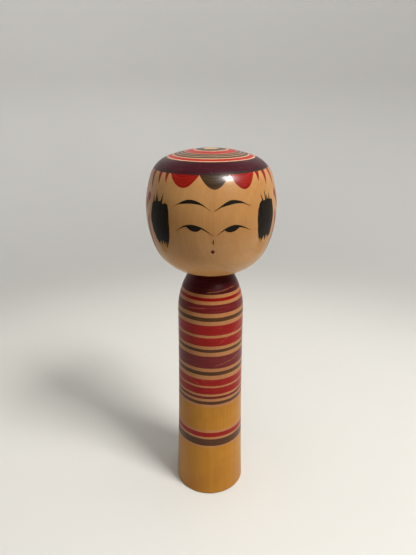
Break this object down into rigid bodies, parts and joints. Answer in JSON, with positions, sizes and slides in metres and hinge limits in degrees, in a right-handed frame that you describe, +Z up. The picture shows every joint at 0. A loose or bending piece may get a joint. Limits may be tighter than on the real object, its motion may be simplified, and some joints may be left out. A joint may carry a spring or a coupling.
{
  "type": "kokeshi doll",
  "caption": "Turned wooden kokeshi doll: a wide round head with a painted face that turns on a peg in a slim, band-painted body.",
  "frame": {"origin": "centre of the foot's underside", "axes": "+Z up the turning axis, the painted face looks along -Y, +X is on the viewer's right when the face is seen from the front"},
  "size_m": [0.0806, 0.0806, 0.2418],
  "materials": {
    "body_wood": "turned pale wood with painted bands in red, purple, olive black and ochre, waxed to a soft gloss",
    "head_wood": "turned pale wood, waxed to a soft gloss",
    "peg_wood": "bare turned wood",
    "black_ink": "brushed black ink under wax",
    "red_dye": "brushed red dye under wax",
    "crown_dye": "turned rings of purple, red and black dye under wax"
  },
  "bodies": {
    "body": {"body": "body_wood"},
    "head": {"head": "head_wood", "neck_peg": "peg_wood"}
  },
  "joints": [
    {"name": "head_turn", "type": "hinge", "parent": "body", "child": "head", "pos_m": [0, 0, 0.165], "axis": [0, 0, 1], "continuous": true}
  ]
}
